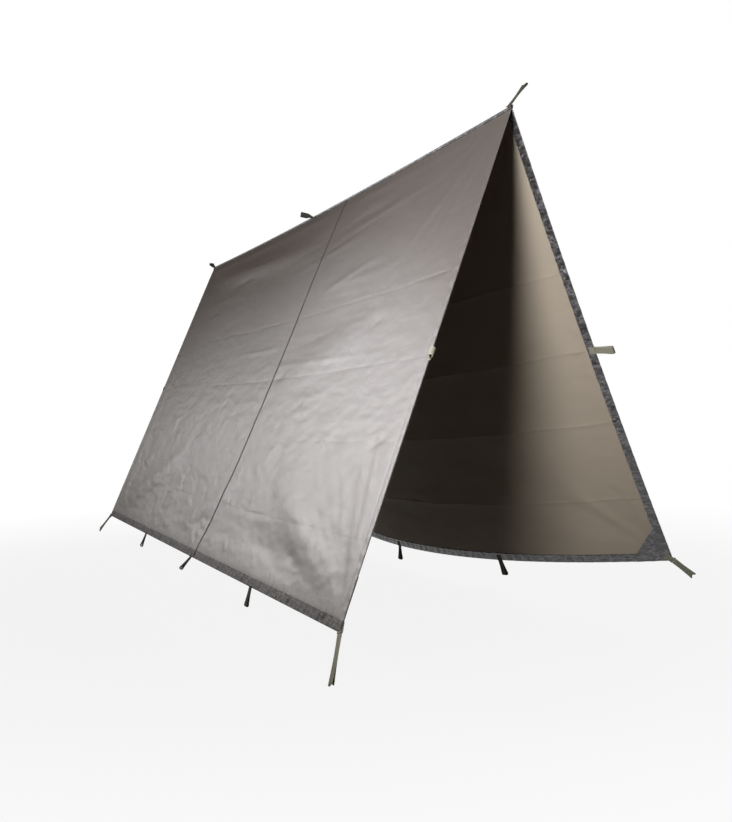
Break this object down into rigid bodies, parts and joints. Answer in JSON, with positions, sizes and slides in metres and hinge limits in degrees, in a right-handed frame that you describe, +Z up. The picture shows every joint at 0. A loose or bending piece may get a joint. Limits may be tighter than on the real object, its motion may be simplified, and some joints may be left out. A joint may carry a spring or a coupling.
{
  "type": "camping tarp",
  "caption": "Square camping tarp of coated cloth, pitched as an open ridge shelter, with webbing loops at its corners, edges, hems and ridge.",
  "frame": {"origin": "front end of the ridge, at the middle of the ridge roll", "axes": "+Y back along the ridge, -X the left slope seen from the open front, +Z up"},
  "size_m": [1.3766, 3.1517, 1.585],
  "materials": {
    "coated_fabric": "coated, slight sheen",
    "hem_fabric": "matte",
    "webbing": "matte"
  },
  "bodies": {
    "ridge": {"ridge_roll": "coated_fabric", "ridge_front_tab": "webbing", "ridge_centre_tab": "webbing", "ridge_rear_tab": "webbing"},
    "left_slope": {"left_bottom_hem": "hem_fabric", "left_cross_seam": "coated_fabric", "left_front_corner_patch": "hem_fabric", "left_front_corner_tab": "webbing", "left_front_edge_tab": "webbing", "left_front_hem": "hem_fabric", "left_front_panel": "coated_fabric", "left_hem_front_tab": "webbing", "left_hem_middle_tab": "webbing", "left_hem_rear_tab": "webbing", "left_rear_corner_patch": "hem_fabric", "left_rear_corner_tab": "webbing", "left_rear_edge_tab": "webbing", "left_rear_hem": "hem_fabric", "left_rear_panel": "coated_fabric"},
    "right_slope": {"right_bottom_hem": "hem_fabric", "right_cross_seam": "coated_fabric", "right_front_corner_patch": "hem_fabric", "right_front_corner_tab": "webbing", "right_front_edge_tab": "webbing", "right_front_hem": "hem_fabric", "right_front_panel": "coated_fabric", "right_hem_front_tab": "webbing", "right_hem_middle_tab": "webbing", "right_hem_rear_tab": "webbing", "right_rear_corner_patch": "hem_fabric", "right_rear_corner_tab": "webbing", "right_rear_edge_tab": "webbing", "right_rear_hem": "hem_fabric", "right_rear_panel": "coated_fabric"},
    "left_front_corner_loop": {"left_front_corner_loop": "webbing"},
    "left_front_edge_loop": {"left_front_edge_loop": "webbing"},
    "left_hem_front_loop": {"left_hem_front_loop": "webbing"},
    "left_hem_middle_loop": {"left_hem_middle_loop": "webbing"},
    "left_hem_rear_loop": {"left_hem_rear_loop": "webbing"},
    "left_rear_corner_loop": {"left_rear_corner_loop": "webbing"},
    "left_rear_edge_loop": {"left_rear_edge_loop": "webbing"},
    "ridge_centre_loop": {"ridge_centre_loop": "webbing"},
    "ridge_front_loop": {"ridge_front_loop": "webbing"},
    "ridge_rear_loop": {"ridge_rear_loop": "webbing"},
    "right_front_corner_loop": {"right_front_corner_loop": "webbing"},
    "right_front_edge_loop": {"right_front_edge_loop": "webbing"},
    "right_hem_front_loop": {"right_hem_front_loop": "webbing"},
    "right_hem_middle_loop": {"right_hem_middle_loop": "webbing"},
    "right_hem_rear_loop": {"right_hem_rear_loop": "webbing"},
    "right_rear_corner_loop": {"right_rear_corner_loop": "webbing"},
    "right_rear_edge_loop": {"right_rear_edge_loop": "webbing"}
  },
  "joints": [
    {"name": "left_slope_lift", "type": "hinge", "parent": "ridge", "child": "left_slope", "pos_m": [0, 0, 0], "axis": [0, 1, 0], "range_deg": [0, 60]},
    {"name": "right_slope_lift", "type": "hinge", "parent": "ridge", "child": "right_slope", "pos_m": [0, 0, 0], "axis": [0, -1, 0], "range_deg": [0, 60]},
    {"name": "left_front_corner_loop_turn", "type": "hinge", "parent": "left_slope", "child": "left_front_corner_loop", "pos_m": [-0.56672, -0.01644, -1.39256], "axis": [-0.1139, 0.9297, -0.3502], "range_deg": [-70, 70], "stiffness_Nm_per_rad": 0.005},
    {"name": "left_front_edge_loop_turn", "type": "hinge", "parent": "left_slope", "child": "left_front_edge_loop", "pos_m": [-0.28254, -0.01132, -0.69467], "axis": [-0.3778, -0.01, -0.9258], "range_deg": [-97, 43], "stiffness_Nm_per_rad": 0.005},
    {"name": "left_hem_front_loop_turn", "type": "hinge", "parent": "left_slope", "child": "left_hem_front_loop", "pos_m": [-0.55679, 0.73123, -1.40095], "axis": [0.004, 1, -0.0052], "range_deg": [-63, 77], "stiffness_Nm_per_rad": 0.005},
    {"name": "left_hem_middle_loop_turn", "type": "hinge", "parent": "left_slope", "child": "left_hem_middle_loop", "pos_m": [-0.56133, 1.47752, -1.40028], "axis": [-0.0161, 0.9998, 0.0069], "range_deg": [-92, 48], "stiffness_Nm_per_rad": 0.005},
    {"name": "left_hem_rear_loop_turn", "type": "hinge", "parent": "left_slope", "child": "left_hem_rear_loop", "pos_m": [-0.58091, 2.2238, -1.3906], "axis": [-0.0362, 0.9992, 0.019], "range_deg": [-70, 70], "stiffness_Nm_per_rad": 0.005},
    {"name": "left_rear_corner_loop_turn", "type": "hinge", "parent": "left_slope", "child": "left_rear_corner_loop", "pos_m": [-0.61473, 2.97277, -1.37106], "axis": [0.2478, 0.7086, 0.6607], "range_deg": [-70, 70], "stiffness_Nm_per_rad": 0.005},
    {"name": "left_rear_edge_loop_turn", "type": "hinge", "parent": "left_slope", "child": "left_rear_edge_loop", "pos_m": [-0.30669, 2.98383, -0.68441], "axis": [0.4099, 0.0134, 0.912], "range_deg": [-10, 130], "stiffness_Nm_per_rad": 0.005},
    {"name": "ridge_centre_loop_turn", "type": "hinge", "parent": "ridge", "child": "ridge_centre_loop", "pos_m": [0, 1.495, -0.0062], "axis": [0, 1, 0], "range_deg": [0, 160], "stiffness_Nm_per_rad": 0.005},
    {"name": "ridge_front_loop_turn", "type": "hinge", "parent": "ridge", "child": "ridge_front_loop", "pos_m": [0, 0.011, 0.0088], "axis": [0, 1, 0], "range_deg": [-110, 30], "stiffness_Nm_per_rad": 0.005},
    {"name": "ridge_rear_loop_turn", "type": "hinge", "parent": "ridge", "child": "ridge_rear_loop", "pos_m": [0, 2.9918, 0.00625], "axis": [1, 0, 0], "range_deg": [-60, 44], "stiffness_Nm_per_rad": 0.005},
    {"name": "right_front_corner_loop_turn", "type": "hinge", "parent": "right_slope", "child": "right_front_corner_loop", "pos_m": [0.66782, 0.12239, -1.34076], "axis": [-0.0211, -0.7602, 0.6493], "range_deg": [-70, 70], "stiffness_Nm_per_rad": 0.005},
    {"name": "right_front_edge_loop_turn", "type": "hinge", "parent": "right_slope", "child": "right_front_edge_loop", "pos_m": [0.33343, 0.0736, -0.66926], "axis": [-0.4446, -0.0833, 0.8918], "range_deg": [-76, 64], "stiffness_Nm_per_rad": 0.005},
    {"name": "right_hem_front_loop_turn", "type": "hinge", "parent": "right_slope", "child": "right_hem_front_loop", "pos_m": [0.48416, 0.84852, -1.42297], "axis": [0.1657, -0.9834, 0.0743], "range_deg": [-71, 69], "stiffness_Nm_per_rad": 0.005},
    {"name": "right_hem_middle_loop_turn", "type": "hinge", "parent": "right_slope", "child": "right_hem_middle_loop", "pos_m": [0.42323, 1.57249, -1.45085], "axis": [-0.0007, -1, 0.0015], "range_deg": [-55, 85], "stiffness_Nm_per_rad": 0.005},
    {"name": "right_hem_rear_loop_turn", "type": "hinge", "parent": "right_slope", "child": "right_hem_rear_loop", "pos_m": [0.4852, 2.29648, -1.42518], "axis": [-0.1672, -0.9834, -0.0711], "range_deg": [-62, 78], "stiffness_Nm_per_rad": 0.005},
    {"name": "right_rear_corner_loop_turn", "type": "hinge", "parent": "right_slope", "child": "right_rear_corner_loop", "pos_m": [0.66992, 3.02305, -1.34475], "axis": [0.0922, -0.6618, -0.744], "range_deg": [-70, 70], "stiffness_Nm_per_rad": 0.005},
    {"name": "right_rear_edge_loop_turn", "type": "hinge", "parent": "right_slope", "child": "right_rear_edge_loop", "pos_m": [0.33433, 3.00891, -0.6711], "axis": [0.4461, 0.0199, -0.8948], "range_deg": [-88, 52], "stiffness_Nm_per_rad": 0.005}
  ]
}
